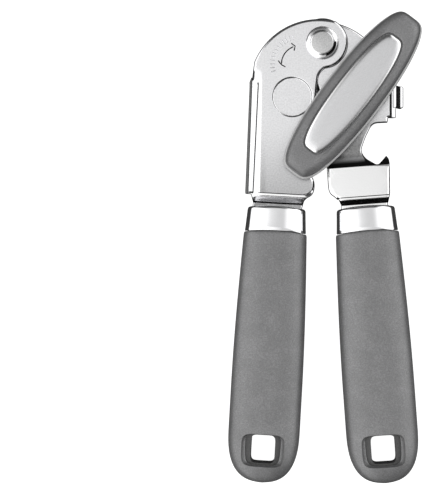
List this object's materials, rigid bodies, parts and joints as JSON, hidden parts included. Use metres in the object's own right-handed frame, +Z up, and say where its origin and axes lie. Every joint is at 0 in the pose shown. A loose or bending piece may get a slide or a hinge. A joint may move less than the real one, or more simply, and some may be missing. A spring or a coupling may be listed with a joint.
{
  "type": "manual can opener",
  "caption": "Hand-held can opener: two riveted arms with soft grips, a long turning knob, geared feed and cutting wheels, and a claw for crown caps.",
  "frame": {"origin": "middle of the underside of the opener's box, as it lies on its back on a table", "axes": "+Y along the opener from the handle ends to the head, +Z up out of the table to the knob, +X to the right as seen from above with the head away from the viewer; every pivot is parallel to Z"},
  "size_m": [0.086, 0.2092, 0.0298],
  "materials": {
    "plate_steel": "fine satin face with polished bends and edges",
    "chrome": "mirror polished",
    "gear_steel": "machined and zinc plated",
    "blade_steel": "ground and hardened",
    "soft_grey": "soft-touch, very matte, fine speckle",
    "core_plastic": "moulded, semi-matte",
    "knob_shell": "moulded, semi-matte, lighter than the grips",
    "satin_trim": "satin silver"
  },
  "bodies": {
    "cutter_arm": {"cutter_arm_plate": "plate_steel", "pivot_rivet": "chrome", "pivot_washer": "gear_steel", "cutter_stud": "gear_steel", "cutter_washer": "gear_steel", "cutter_screw": "gear_steel", "left_ferrule": "chrome", "left_handle_core": "core_plastic", "left_grip": "soft_grey"},
    "cutter": {"cutter_gear": "gear_steel", "cutter_hub": "gear_steel", "cutting_wheel": "blade_steel"},
    "drive_arm": {"drive_arm_plate": "plate_steel", "shaft_bushing": "gear_steel", "right_ferrule": "chrome", "right_handle_core": "core_plastic", "right_grip": "soft_grey"},
    "drive_train": {"drive_shaft": "gear_steel", "drive_gear": "gear_steel", "feed_wheel": "blade_steel", "spring_washer": "gear_steel", "shaft_nut": "gear_steel", "knob_collar": "chrome", "knob_back": "knob_shell", "knob_grip": "soft_grey", "knob_insert": "satin_trim", "knob_screw": "gear_steel"}
  },
  "joints": [
    {"name": "handle_pivot", "type": "hinge", "parent": "cutter_arm", "child": "drive_arm", "pos_m": [-0.00077, 0.09134, 0.0118], "axis": [0, 0, 1], "range_deg": [-5, 45]},
    {"name": "knob_spin", "type": "hinge", "parent": "drive_arm", "child": "drive_train", "pos_m": [0.01257, 0.06747, 0.0118], "axis": [0, 0, 1], "continuous": true},
    {"name": "cutter_spin", "type": "hinge", "parent": "cutter_arm", "child": "cutter", "pos_m": [-0.01411, 0.06747, 0.0118], "axis": [0, 0, 1], "continuous": true}
  ],
  "couplings": [
    {"joint": "cutter_spin", "follows": "knob_spin", "ratio": -1}
  ]
}
